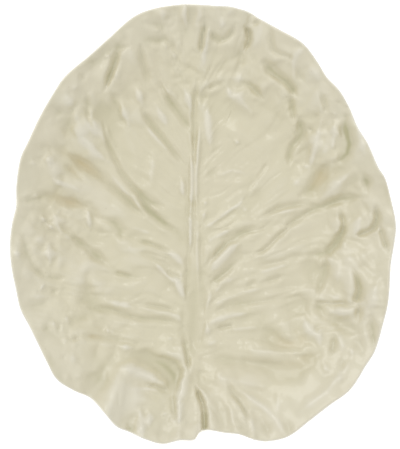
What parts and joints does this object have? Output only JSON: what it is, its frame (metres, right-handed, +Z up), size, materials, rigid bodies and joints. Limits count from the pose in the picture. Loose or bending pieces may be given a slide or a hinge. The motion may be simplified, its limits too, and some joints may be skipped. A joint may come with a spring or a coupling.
{
  "type": "leaf shaped plate",
  "caption": "Leaf shaped serving plate: a pressed and glazed leaf with a raised midrib, branching veins, puckered folds and a waved rim, standing on a round foot ring.",
  "frame": {"origin": "under the middle of the leaf's box, on the surface that the foot ring stands on", "axes": "+Z up, out of the well; +Y from the stem end to the leaf's tip; +X to the right of the leaf, seen from above with its tip away from the viewer"},
  "size_m": [0.246, 0.28, 0.0359],
  "materials": {
    "leaf_glaze": "cream glaze, satin to glossy, a little deeper and yellower where it has pooled in the creases and paler where it has thinned over ridges and rim",
    "foot_clay": "cream glaze on the sides, wiped to bare buff clay on the standing edge"
  },
  "bodies": {
    "root": {"leaf_dish": "leaf_glaze", "foot_ring": "foot_clay"}
  },
  "joints": []
}
